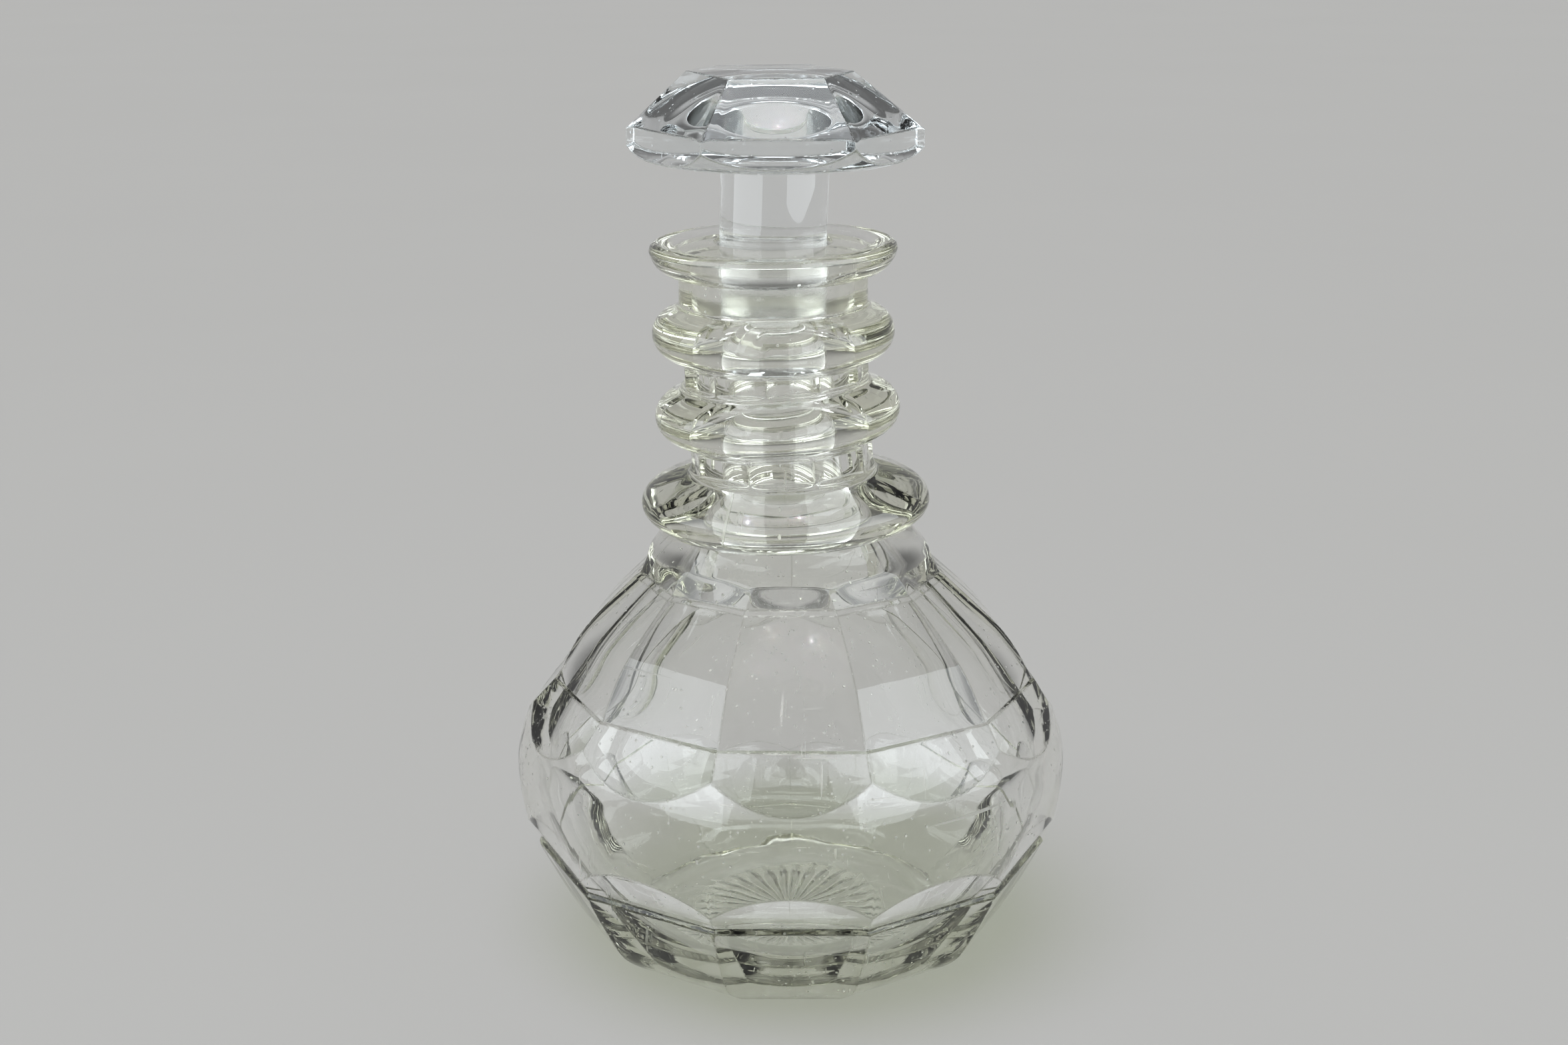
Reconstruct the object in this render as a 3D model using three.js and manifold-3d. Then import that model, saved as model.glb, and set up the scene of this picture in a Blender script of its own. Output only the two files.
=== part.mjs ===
// Cut-glass sherry decanter: a squat globe cut in eleven panels, a ringed neck with a flared lip,
// and a solid stopper with a six-sided mushroom head.
// Millimetres, +Z up. The origin is on the table, under the middle of the body. -Y is the front.
import * as THREE from "three";
import { mergeVertices } from "three/addons/utils/BufferGeometryUtils.js";
import Module from "manifold-3d";

const wasm = await Module();
wasm.setup();

// Counts and fineness
const panelCount = 11;
const lowNeckPanelCount = 9;
const starRaysPerPanel = 3;
const starRaySteps = 4;
const bodyColumns = 6 * panelCount;
const heelSteps = 4;
const bellyRows = 7;
const panelSteps = 4;
const rootSteps = 5;
const cavitySteps = 18;
const wallArcShares = [0, 1 / 3, 2 / 3, 1];
const floorFilletShares = [0.5, 1];
const ringColumns = 42;
const ringSectionSides = 10;
const columnsPerStopperSide = 8;
const runOutHalvings = 30;

// Foot and lower panels. An apothem is the distance from the axis to the middle of a flat side. A rise
// is the height of a stretch above the one under it.
const footApothem = 38.8;
const footTurnApothem = 46.6;
const footTurnRise = 5.4;
const heelApothem = 50.9;
const heelRise = 5.6;
const ledgeApothem = 58.3;
const lowerPanelRise = 14.7;
const ledgeRise = 1.15;
const ledgeStep = 0.7;

// Round belly between the lower facets and the upper ones
const bellyRadius = 64.75;
const bellyLift = 20.3;
const bellyLowerArcRadius = 52;
const bellyUpperArcRadius = 20;
const bellyUpperSlopeDegrees = 19;
const lowerFacetDegrees = 32.6;
const upperFacetDegrees = 36.7;

// Ridge, tall upper panels and shoulder
const ridgeLift = 20.3;
const ridgeApothem = 54.3;
const ridgeRise = 0.2;
const ridgeStep = 0.6;
const panelRise = 24.2;
const panelUnevenness = 0.9;
const panelCrown = 1.9;
const panelCrownShare = 0.42;
const shoulderApothem = 35.0;
const shoulderRise = 0.9;
const shoulderStep = 1.4;
const shoulderTurnRise = 5.9;
const shoulderTurnRadius = 32.4;
const collarSeatRise = 5.0;
const collarSeatRadius = 28.6;

// Neck, which leans to the left of the body until it is upright under the lip, and its lip
const neckRadius = 21.4;
const neckRootRise = 10.6;
const neckShift = 4.0;
const neckShiftDrop = 17.4;
const neckShiftRise = 48.6;
const lowNeckCutDepth = 1.2;
const upperNeckCutDepth = 0.85;
const upperNeckTurnDegrees = 11.4;
const lipSpacing = 13.1;
const lipBendFlare = 4.3;
const lipBendRise = 1.8;
const lipLowerFlare = 5.8;
const lipLowerRise = 1.8;
const lipFlare = 6.55;
const lipRise = 2.1;
const rimEdge = 1.65;
const rimRise = 1.9;
const rimWidth = 1.5;
const rimInnerDrop = 0.2;
const lipTiltDegrees = 0.8;
const mouthDrop = 0.4;
const mouthFlare = 0.9;

// Inside of the bottle
const socketDepth = 19;
const plugLength = 17.8;
const plugTopRadius = 12.05;
const plugEndRadius = 11.7;
const plugClearance = 0.3;
const boreRadius = 12.4;
const boreWideRadius = 14.5;
const rootWall = 7.4;
const shoulderWall = 4.4;
const panelWall = 3.2;
const bellyWall = 4.8;
const baseThickness = 5.0;
const floorFillet = 16;

// Star cut under the base
const starRadius = 23.6;
const starGrooveWidth = 2.6;
const starGrooveDepth = 0.7;
const starWidestShare = 0.75;
const starEndShare = 0.04;
const cutOverrun = 1;

// Rings of glass round the neck. A bulge is how far a ring stands out from the neck.
const upperRingBulge = 6.1;
const upperRingSpacing = 18.3;
const upperRingHalfHeight = 6.4;
const upperRingTiltDegrees = 0.8;
const middleRingBulge = 6.7;
const middleRingSpacing = 20.8;
const middleRingHalfHeight = 6.5;
const middleRingTiltDegrees = 3.1;
const lowerRingBulge = 11.9;
const lowerRingLift = 6.6;
const lowerRingHalfHeight = 6.7;
const lowerRingTiltDegrees = 1.4;
const ringSeatDepth = 4;
const ringClearance = 0.3;
const ringBulgePower = 0.75;

// Stopper. It is cut by hand, so the six sides of its rim and of its table lie at uneven distances,
// from the front one round to the right, and the table leans to the front and to the left.
const stemRise = 16.8;
const headRimRise = 8.2;
const crownRise = 12.05;
const rimApothems = [28.7, 29.2, 28.2, 28.7, 29.6, 27.8];
const tableApothems = [14.6, 16.0, 14.0, 13.5, 18.5, 15.7];
const tableLeanDegrees = 2.0;
const tableRollDegrees = 0.7;
const frontBand = 6.35;
const domeShift = 2.0;
const domePower = 9.1;
const domeShares = [0.18, 0.35, 0.6, 0.8];
const dishDepth = 1.9;
const dishRadius = 21;
const stemFillet = 0.6;
const plugEndChamfer = 0.8;

// Colours of the glass
const bottleColour = 0xdfe0cf;
const ringColour = 0xdde0cc;
const stopperColour = 0xe6eaec;
const glassRoughness = 0.04;

// Heights of the features above the table, each from the one below it
const heelHeight = footTurnRise + heelRise;
const ledgeHeight = heelHeight + lowerPanelRise;
const notchHeight = ledgeHeight + ledgeRise;
const bellyHeight = ledgeHeight + bellyLift;
const ridgeHeight = bellyHeight + ridgeLift;
const shoulderHeight = ridgeHeight + panelRise;
const shoulderTurnHeight = shoulderHeight + shoulderTurnRise;
const collarSeatHeight = shoulderTurnHeight + collarSeatRise;
const neckRootHeight = collarSeatHeight + neckRootRise;
const lowerRingHeight = collarSeatHeight + lowerRingLift;
const middleRingHeight = lowerRingHeight + middleRingSpacing;
const upperRingHeight = middleRingHeight + upperRingSpacing;
const lipUndersideHeight = upperRingHeight + lipSpacing;
const lipHeight = lipUndersideHeight + lipBendRise + lipLowerRise + lipRise;
const rimHeight = lipHeight + rimRise;
const mouthHeight = rimHeight - mouthDrop;
const seatHeight = mouthHeight - mouthFlare;
const socketEndHeight = mouthHeight - socketDepth;
const headUnderside = rimHeight + stemRise;
const stemTopHeight = headUnderside + dishDepth;
const headRimHeight = headUnderside + headRimRise;
const tableHeight = headRimHeight + crownRise;

const panelStep = (2 * Math.PI) / panelCount;
const lowNeckStep = (2 * Math.PI) / lowNeckPanelCount;

// How far round a side of a polygon an angle is, from its middle, when side 0 faces the front.
function fromMiddle(angle, step) {
  return angle - Math.round(angle / step) * step;
}

// Radius of a regular polygon of that apothem in the direction of an angle.
function polygonRadius(apothem, angle, step) {
  return apothem / Math.cos(fromMiddle(angle, step));
}

// Smooth change from 0 to 1 while a value goes from start to end.
function ease(value, start, end) {
  const t = THREE.MathUtils.clamp((value - start) / (end - start), 0, 1);
  return t * t * (3 - 2 * t);
}

// X of the middle of the glass at a height: the neck leans to the left of the body.
function axisX(height) {
  const [start, end] = [collarSeatHeight - neckShiftDrop, collarSeatHeight + neckShiftRise];
  return -neckShift * ease(height, start, end);
}

// Radius of the uncut round belly at a height: two arcs that meet upright at its widest, and above
// the upper one a straight slope.
function bellyAt(height) {
  const arc = height < bellyHeight ? bellyLowerArcRadius : bellyUpperArcRadius;
  const slope = THREE.MathUtils.degToRad(bellyUpperSlopeDegrees);
  const arcTop = bellyUpperArcRadius * Math.sin(slope);
  const rise = Math.min(height - bellyHeight, arcTop);
  const beyond = height - bellyHeight - rise;
  return bellyRadius - arc + Math.sqrt(arc * arc - rise * rise) - beyond * Math.tan(slope);
}

const notchApothem = ledgeApothem - ledgeStep;
const panelNormalDegrees = THREE.MathUtils.radToDeg(
  Math.atan2(ridgeApothem - shoulderApothem, shoulderHeight - ridgeHeight),
);
const lowerFacetSlope = Math.tan(THREE.MathUtils.degToRad(lowerFacetDegrees));
const upperFacetSlope = Math.tan(THREE.MathUtils.degToRad(upperFacetDegrees));

// Apothem of the flat facets above the ledge, which lean out as they rise.
function lowerFacetAt(height) {
  return notchApothem + lowerFacetSlope * (height - notchHeight);
}

// Apothem of the flat facets under the ridge, which lean in as they rise.
function upperFacetAt(height) {
  return ridgeApothem + upperFacetSlope * (ridgeHeight - height);
}

// Height at which a facet runs out into the round belly, by halving the stretch between two heights.
function runOut(facetAt, angle, inFacet, inBelly) {
  let [low, high] = [inFacet, inBelly];
  for (let i = 0; i < runOutHalvings; i++) {
    const middle = (low + high) / 2;
    const cut = polygonRadius(facetAt(middle), angle, panelStep);
    if (cut < bellyAt(middle)) low = middle;
    else high = middle;
  }
  return (low + high) / 2;
}

// One row of points round the glass. Radius and height may change with the angle.
function rowOf(columns, radiusAt, heightAt) {
  return Array.from({ length: columns }, (_, i) => {
    const angle = (2 * Math.PI * i) / columns;
    const height = heightAt(angle);
    const radius = radiusAt(angle, height);
    const x = axisX(height) + radius * Math.sin(angle);
    return new THREE.Vector3(x, -radius * Math.cos(angle), height);
  });
}

// A closed skin over rows of points, from the pole under the first row to the pole after the last.
// The rows climb the outside first, so that the faces look out of the glass.
function skin(rows, firstPole, lastPole) {
  const columns = rows[0].length;
  const points = [firstPole, ...rows.flat(), lastPole];
  const at = (row, i) => 1 + row * columns + (i % columns);
  const faces = [];
  for (let i = 0; i < columns; i++) {
    faces.push(0, at(0, i + 1), at(0, i));
    for (let row = 0; row + 1 < rows.length; row++) {
      faces.push(at(row, i), at(row, i + 1), at(row + 1, i + 1));
      faces.push(at(row, i), at(row + 1, i + 1), at(row + 1, i));
    }
    faces.push(points.length - 1, at(rows.length - 1, i), at(rows.length - 1, i + 1));
  }
  const geometry = new THREE.BufferGeometry().setFromPoints(points);
  geometry.setIndex(faces);
  return geometry;
}

// A closed geometry as a solid that can be joined and cut.
function solidOf(geometry) {
  const bare = geometry.clone();
  bare.deleteAttribute("normal");
  bare.deleteAttribute("uv");
  const merged = mergeVertices(bare);
  const vertProperties = merged.getAttribute("position").array;
  const triVerts = new Uint32Array(merged.index.array);
  return new wasm.Manifold(new wasm.Mesh({ numProp: 3, vertProperties, triVerts }));
}

// A solid as a geometry again.
function geometryOf(solid) {
  const mesh = solid.getMesh();
  const geometry = new THREE.BufferGeometry();
  geometry.setAttribute("position", new THREE.BufferAttribute(mesh.vertProperties, mesh.numProp));
  geometry.setIndex(new THREE.BufferAttribute(mesh.triVerts, 1));
  geometry.computeVertexNormals();
  return geometry;
}

// Points of a smooth curve through a few radius and height pairs.
function through(pairs, count) {
  const curve = new THREE.SplineCurve(pairs.map(([radius, height]) => new THREE.Vector2(radius, height)));
  return curve.getPoints(count).map((point) => [point.x, point.y]);
}

// Rows for profile points whose section is a polygon. Unevenness is how much further out the cutter
// left the right side than the middle.
function polygonRows(profile, unevennessAt = () => 0) {
  return profile.map(([apothem, height]) => {
    const uneven = unevennessAt(height);
    const radiusAt = (angle) => polygonRadius(apothem, angle, panelStep) + uneven * Math.sin(angle);
    return rowOf(bodyColumns, radiusAt, () => height);
  });
}

// Rows for profile points whose section is round. A tilt lifts the right side.
function roundRows(profile, tiltDegrees = 0) {
  const slope = Math.tan(THREE.MathUtils.degToRad(tiltDegrees));
  return profile.map(([radius, height]) =>
    rowOf(bodyColumns, () => radius, (angle) => height + slope * radius * Math.sin(angle)),
  );
}

// A profile point moved into the glass by a wall, against a normal that points so far above level.
function inset([radius, height], wall, normalDegrees) {
  const normal = THREE.MathUtils.degToRad(normalDegrees);
  return [radius - wall * Math.cos(normal), height - wall * Math.sin(normal)];
}

const lipBandMiddle = (upperRingHeight + lipUndersideHeight) / 2;
const upperBandMiddle = (upperRingHeight + middleRingHeight) / 2;
const lowerBandMiddle = (middleRingHeight + lowerRingHeight) / 2;

// Radius of the neck's outside: round at the top and behind the rings, cut in flats between them.
function neckAt(angle, height) {
  const upperTurn = THREE.MathUtils.degToRad(upperNeckTurnDegrees);
  const bands = [
    [upperBandMiddle, upperRingSpacing / 2, panelStep, upperTurn, upperNeckCutDepth],
    [lowerBandMiddle, middleRingSpacing / 2, lowNeckStep, 0, lowNeckCutDepth],
  ];
  for (const [middle, reach, step, turn, depth] of bands) {
    if (Math.abs(height - middle) < reach && height > neckRootHeight) {
      return Math.min(neckRadius, polygonRadius(neckRadius - depth, angle - turn, step));
    }
  }
  return neckRadius;
}

// Outside of the bottle, from the foot up to the rim.
function outsideRows() {
  const heel = through(
    [
      [footApothem, 0],
      [footTurnApothem, footTurnRise],
      [heelApothem, heelHeight],
    ],
    heelSteps,
  );
  const lower = [...heel, [ledgeApothem, ledgeHeight], [notchApothem, notchHeight]];
  const bellyShares = Array.from({ length: bellyRows }, (_, i) => i / (bellyRows - 1));
  const lowEnd = (angle) => runOut(lowerFacetAt, angle, notchHeight, bellyHeight);
  const highEnd = (angle) => runOut(upperFacetAt, angle, ridgeHeight, bellyHeight);
  const belly = bellyShares.map((share) =>
    rowOf(
      bodyColumns,
      (_, height) => bellyAt(height),
      (angle) => lowEnd(angle) + share * (highEnd(angle) - lowEnd(angle)),
    ),
  );
  const panelFoot = [ridgeApothem - ridgeStep, ridgeHeight + ridgeRise];
  const panelTop = [shoulderApothem, shoulderHeight];
  const crest = panelFoot.map((from, i) => from + panelCrownShare * (panelTop[i] - from));
  const panelMiddle = inset(crest, -panelCrown, panelNormalDegrees);
  const panels = [
    [ridgeApothem, ridgeHeight],
    ...through([panelFoot, panelMiddle, panelTop], panelSteps),
    [shoulderApothem - shoulderStep, shoulderHeight + shoulderRise],
  ];
  const unevenAt = (height) => panelUnevenness * (1 - ease(height, ridgeHeight, shoulderHeight));
  const root = through(
    [
      [shoulderTurnRadius, shoulderTurnHeight],
      [collarSeatRadius, collarSeatHeight],
      [(collarSeatRadius + neckRadius) / 2 - upperNeckCutDepth, collarSeatHeight + neckRootRise / 2],
      [neckRadius, neckRootHeight],
    ],
    rootSteps,
  );
  const neckHeights = [
    lowerBandMiddle - middleRingHalfHeight / 2,
    lowerBandMiddle + middleRingHalfHeight / 2,
    upperBandMiddle - middleRingHalfHeight / 2,
    upperBandMiddle + middleRingHalfHeight / 2,
    lipBandMiddle,
    lipUndersideHeight,
  ];
  const neck = neckHeights.map((height) => rowOf(bodyColumns, neckAt, () => height));
  const lipBendHeight = lipUndersideHeight + lipBendRise;
  const lip = [
    [neckRadius + lipBendFlare, lipBendHeight],
    [neckRadius + lipLowerFlare, lipBendHeight + lipLowerRise],
    [neckRadius + lipFlare, lipHeight],
    [neckRadius + lipFlare - rimEdge, rimHeight],
    [neckRadius + lipFlare - rimEdge - rimWidth, rimHeight - rimInnerDrop],
  ];
  return [
    ...polygonRows(lower),
    ...belly,
    ...polygonRows(panels, unevenAt),
    ...roundRows(root),
    ...neck,
    ...roundRows(lip, lipTiltDegrees),
  ];
}

// Inner wall from the widest part of the belly down to the floor: an arc that runs parallel to the
// round belly as it was blown, then a fillet.
function lowerWall() {
  const arcRadius = bellyLowerArcRadius - bellyWall;
  const arcCentre = bellyRadius - bellyLowerArcRadius;
  const drop = Math.max(0, bellyHeight - baseThickness - floorFillet);
  const reach = Math.sqrt(Math.max(0, (arcRadius - floorFillet) ** 2 - drop ** 2));
  const arcEnd = Math.atan2(drop, reach);
  const arc = wallArcShares.map((share) => {
    const angle = share * arcEnd;
    return [arcCentre + arcRadius * Math.cos(angle), bellyHeight - arcRadius * Math.sin(angle)];
  });
  const fillet = floorFilletShares.map((share) => {
    const angle = arcEnd + share * (Math.PI / 2 - arcEnd);
    const height = baseThickness + floorFillet * (1 - Math.sin(angle));
    return [arcCentre + reach + floorFillet * Math.cos(angle), height];
  });
  return [...arc, ...fillet];
}

// Inside of the bottle, from the dished lip down to the middle of the floor. The wall is thick in the
// neck and its root.
function insideRows() {
  const cavity = [
    inset([collarSeatRadius, collarSeatHeight], rootWall, panelNormalDegrees),
    inset([shoulderApothem, shoulderHeight], shoulderWall, panelNormalDegrees),
    inset([ridgeApothem, ridgeHeight], panelWall, panelNormalDegrees),
    ...lowerWall(),
  ];
  return roundRows([
    [plugTopRadius + plugClearance + mouthFlare, mouthHeight],
    [plugTopRadius + plugClearance, seatHeight],
    [plugEndRadius + plugClearance, socketEndHeight],
    [boreRadius, socketEndHeight - boreRadius],
    [boreWideRadius, neckRootHeight],
    ...through(cavity, cavitySteps),
  ]);
}

// Three grooves for each panel, which run out from the middle of the base to the edge of the star.
// They are widest and deepest three quarters of the way out, and pointed at both ends.
function starCutters() {
  const cutters = [];
  const rayCount = starRaysPerPanel * panelCount;
  const half = starGrooveWidth / 2;
  const widest = starWidestShare * starRadius;
  for (let i = 0; i < rayCount; i++) {
    const outline = new THREE.Shape();
    outline.moveTo(-half, 0);
    outline.lineTo(0, starGrooveDepth);
    outline.lineTo(half, 0);
    outline.lineTo(half, -cutOverrun);
    outline.lineTo(-half, -cutOverrun);
    const options = { depth: starRadius, bevelEnabled: false, steps: starRaySteps };
    const groove = new THREE.ExtrudeGeometry(outline, options);
    const position = groove.getAttribute("position");
    for (let j = 0; j < position.count; j++) {
      const along = position.getZ(j);
      const leaf = Math.min(along / widest, (starRadius - along) / (starRadius - widest));
      const share = Math.max(leaf, starEndShare);
      position.setX(j, position.getX(j) * share);
      position.setY(j, position.getY(j) * (position.getY(j) > 0 ? share : 1));
    }
    groove.rotateX(Math.PI / 2);
    groove.rotateZ((2 * Math.PI * i) / rayCount);
    cutters.push(solidOf(groove));
  }
  return cutters.reduce((whole, cutter) => whole.add(cutter));
}

// The blown bottle with its lip, open at the mouth.
function makeBottle() {
  const inside = insideRows();
  const floor = new THREE.Vector3(0, 0, baseThickness);
  const body = skin([...outsideRows(), ...inside], new THREE.Vector3(), floor);
  return geometryOf(solidOf(body).subtract(starCutters()));
}

// The form that the inner face of a ring follows: the outside of the neck, grown by the clearance.
function neckForm() {
  const grown = (row) => row.map((p) => {
    const centre = new THREE.Vector3(axisX(p.z), 0, p.z);
    const out = p.clone().sub(centre);
    return centre.add(out.setLength(out.length() + ringClearance));
  });
  const rows = outsideRows().map(grown);
  const top = new THREE.Vector3(axisX(rimHeight), 0, rimHeight);
  return solidOf(skin(rows, new THREE.Vector3(0, 0, -ringClearance), top));
}

// A band of glass laid round the neck. Its section is half round outside, and it leans a little.
function makeRing(bulge, height, halfHeight, tiltDegrees, form) {
  const seat = neckRadius - ringSeatDepth;
  const width = bulge + ringSeatDepth;
  const section = [];
  for (let i = 0; i <= ringSectionSides; i++) {
    const angle = -Math.PI / 2 + (Math.PI * i) / ringSectionSides;
    const reach = width * Math.cos(angle) ** ringBulgePower;
    section.push(new THREE.Vector2(seat + reach, halfHeight * Math.sin(angle)));
  }
  section.push(section[0].clone());
  const blank = new THREE.LatheGeometry(section, ringColumns);
  blank.rotateX(Math.PI / 2);
  blank.rotateY(-THREE.MathUtils.degToRad(tiltDegrees));
  blank.translate(axisX(height), 0, height);
  return geometryOf(solidOf(blank).subtract(form));
}

// Points along an uneven outline, in equal steps from each corner to the next. Side 0 faces the front.
function outlineRow(apothems) {
  const step = (2 * Math.PI) / apothems.length;
  const corners = apothems.map((near, side) => {
    const far = apothems[(side + 1) % apothems.length];
    const along = (far - near * Math.cos(step)) / Math.sin(step);
    const [sine, cosine] = [Math.sin(side * step), Math.cos(side * step)];
    return new THREE.Vector3(near * sine + along * cosine, along * sine - near * cosine, 0);
  });
  return corners.flatMap((corner, side) => {
    const next = corners[(side + 1) % corners.length];
    const shares = Array.from({ length: columnsPerStopperSide }, (_, i) => i / columnsPerStopperSide);
    return shares.map((share) => corner.clone().lerp(next, share));
  });
}

// The stopper: a six-sided mushroom head with a flat table on top, and a round plug in one piece.
function makeStopper() {
  const rim = outlineRow(rimApothems);
  const table = outlineRow(tableApothems);
  const raised = (outline, heightAt) => outline.map((point) => point.clone().setZ(heightAt(point)));
  const round = ([radius, height]) => rim.map((point) => point.clone().setLength(radius).setZ(height));

  // Height of the underside: dished round the stem, then level, and rising towards the rim, round a
  // middle that lies a little behind the plug's.
  const frontReach = rimApothems[0] + domeShift;
  const stemTopRadius = plugTopRadius + stemFillet;
  const undersideAt = ({ x, y }) => {
    const dish = dishDepth * (1 - ease(Math.hypot(x, y), stemTopRadius, dishRadius));
    const share = Math.hypot(x, y - domeShift) / frontReach;
    return headUnderside + dish + (headRimRise - frontBand) * share ** domePower;
  };
  const dome = domeShares.map((share) => {
    const outline = round([plugTopRadius, 0]).map((point, i) => point.lerp(rim[i], share));
    return raised(outline, undersideAt);
  });

  const lean = Math.tan(THREE.MathUtils.degToRad(tableLeanDegrees));
  const roll = Math.tan(THREE.MathUtils.degToRad(tableRollDegrees));
  const endHeight = mouthHeight - plugLength;
  const rows = [
    round([plugEndRadius - plugEndChamfer, endHeight]),
    round([plugEndRadius, endHeight + plugEndChamfer]),
    round([plugTopRadius, seatHeight]),
    round([plugTopRadius, stemTopHeight - stemFillet]),
    round([stemTopRadius, stemTopHeight]),
    ...dome,
    raised(rim, undersideAt),
    raised(rim, () => headRimHeight),
    raised(table, ({ x, y }) => tableHeight + lean * y + roll * x),
  ];
  const end = new THREE.Vector3(0, 0, endHeight);
  return skin(rows, end, new THREE.Vector3(0, 0, tableHeight)).translate(axisX(tableHeight), 0, 0);
}

// A named mesh of glass.
function glass(name, geometry, color) {
  const material = new THREE.MeshStandardMaterial({ color, roughness: glassRoughness, metalness: 0 });
  const mesh = new THREE.Mesh(geometry, material);
  mesh.name = name;
  return mesh;
}

const form = neckForm();
const rings = [
  ["upper_neck_ring", upperRingBulge, upperRingHeight, upperRingHalfHeight, upperRingTiltDegrees],
  ["middle_neck_ring", middleRingBulge, middleRingHeight, middleRingHalfHeight, middleRingTiltDegrees],
  ["lower_neck_ring", lowerRingBulge, lowerRingHeight, lowerRingHalfHeight, lowerRingTiltDegrees],
];
const decanter = new THREE.Group();
decanter.add(glass("bottle", makeBottle(), bottleColour));
for (const [name, bulge, height, halfHeight, tilt] of rings) {
  decanter.add(glass(name, makeRing(bulge, height, halfHeight, tilt, form), ringColour));
}
decanter.add(glass("stopper", makeStopper(), stopperColour));

export default decanter;
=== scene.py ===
"""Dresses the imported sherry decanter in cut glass: an add-on that is run as a script.

Every mesh is a grid of rows round the glass, worked out with numpy. A row holds an angle, a radius and
a height for each column. Angle 0 is the front (-Y) and angles grow towards +X. Lengths are in metres.
"""

import math

import bpy
import numpy as np
from bpy.props import FloatProperty, FloatVectorProperty, PointerProperty
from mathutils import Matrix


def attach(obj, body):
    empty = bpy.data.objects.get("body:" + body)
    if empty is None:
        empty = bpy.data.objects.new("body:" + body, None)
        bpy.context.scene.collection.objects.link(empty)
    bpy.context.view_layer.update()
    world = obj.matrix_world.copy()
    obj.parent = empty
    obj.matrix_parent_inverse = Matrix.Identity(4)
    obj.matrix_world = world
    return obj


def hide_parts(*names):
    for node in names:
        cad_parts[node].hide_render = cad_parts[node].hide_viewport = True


bl_info = {
    "name": "Cut-glass sherry decanter",
    "version": (1, 0, 0),
    "blender": (4, 5, 0),
    "location": "View3D > Sidebar > Decanter",
    "description": "Builds the cut bottle, its neck rings, its stopper and a plain studio",
    "category": "Object",
}

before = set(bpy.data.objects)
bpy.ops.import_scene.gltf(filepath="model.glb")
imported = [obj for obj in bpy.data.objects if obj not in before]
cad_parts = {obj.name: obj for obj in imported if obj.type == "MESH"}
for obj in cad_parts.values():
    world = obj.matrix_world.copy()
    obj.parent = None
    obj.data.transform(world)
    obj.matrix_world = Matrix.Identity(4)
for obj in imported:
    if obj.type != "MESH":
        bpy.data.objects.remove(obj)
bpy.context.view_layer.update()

MM = 0.001
TURN = 2 * math.pi


def profile(radius, height):
    """A point of a profile, given in millimetres from the axis and above the foot."""
    return np.array([radius, height]) * MM


def incline(degrees):
    """Rise for each unit of length at an angle above level."""
    return math.tan(math.radians(degrees))


# Columns round the bottle, which are also 8 for each ray of the star
PANELS = 11
COLUMNS_A_PANEL = 24
COLUMNS = PANELS * COLUMNS_A_PANEL
STAR_RAYS = 33
LOW_NECK_FLATS = 9
STOPPER_SIDES = 6
COLUMNS_A_SIDE = 40
STOPPER_COLUMNS = STOPPER_SIDES * COLUMNS_A_SIDE
PANEL_STEP = TURN / PANELS
EVEN_ANGLES = np.arange(COLUMNS) * (TURN / COLUMNS)

# Foot, lower panels and ledge: distance of a flat side from the axis, and height
FOOT = profile(38.8, 0.0)
FOOT_TURN = profile(46.6, 5.4)
HEEL = profile(50.9, 11.0)
LEDGE = profile(58.3, 25.7)
NOTCH = profile(57.6, 26.85)

# Round belly between the lower and the upper facets, whose edges are found by halving
BELLY_RADIUS = 64.67 * MM
BELLY_HEIGHT = 46.0 * MM
BELLY_LOWER_ARC = 52.0 * MM
BELLY_UPPER_ARC = 20.0 * MM
BELLY_UPPER_SLOPE = math.radians(19.0)
LOWER_FACET_SLOPE = incline(32.6)
UPPER_FACET_SLOPE = incline(36.7)
HALVINGS = 40

# Ridge, upper panels, shoulder and the root of the neck
RIDGE = profile(54.3, 66.3)
PANEL_FOOT = profile(53.7, 66.5)
SHOULDER = profile(35.0, 90.5)
BEVEL_TOP = profile(33.6, 91.4)
SHOULDER_TURN = profile(32.4, 96.4)
COLLAR_SEAT = profile(28.6, 101.4)
ROOT_MIDDLE = profile(24.15, 106.7)
NECK_ROOT = profile(21.4, 112.0)
PANEL_NORMAL = math.atan2(RIDGE[0] - SHOULDER[0], SHOULDER[1] - RIDGE[1])
PANEL_CROWN = 1.9 * MM
PANEL_CROWN_SHARE = 0.42
PANEL_UNEVENNESS = 0.9 * MM

# Lengths along the profile of the bottle's bands, by which their rows are spaced
LEDGE_BAND = 1.35 * MM
LOWER_FACET_BAND = 8.0 * MM
BELLY_BAND = 24.0 * MM
UPPER_FACET_BAND = 10.0 * MM
PANEL_BAND = 31.0 * MM
BEVEL_BAND = 1.7 * MM
SHOULDER_BAND = 4.8 * MM
CURVE_POINTS = 400

# Neck, which leans to the left of the body
NECK_RADIUS = 21.4 * MM
NECK_SHIFT = 4.0 * MM
SHIFT_START = 84.0 * MM
SHIFT_END = 150.0 * MM
LOW_FLAT_DEPTH = 1.29 * MM
UPPER_FLAT_DEPTH = 0.87 * MM
UPPER_FLAT_TURN = math.radians(11.4)
FLAT_EDGE_SPREAD = 1.2

# Rows of a band of flats: share of the way up, and how far the row is cut from round to flat
FLAT_HEIGHTS = np.array([0.0, 0.06, 0.1, 0.14, 0.2, 0.35, 0.5, 0.65, 0.8, 0.86, 0.9, 0.94, 1.0])
FLAT_CUTS = np.array([[0], [0], [0.5], *[[1]] * 7, [0.5], [0], [0]])

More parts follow.
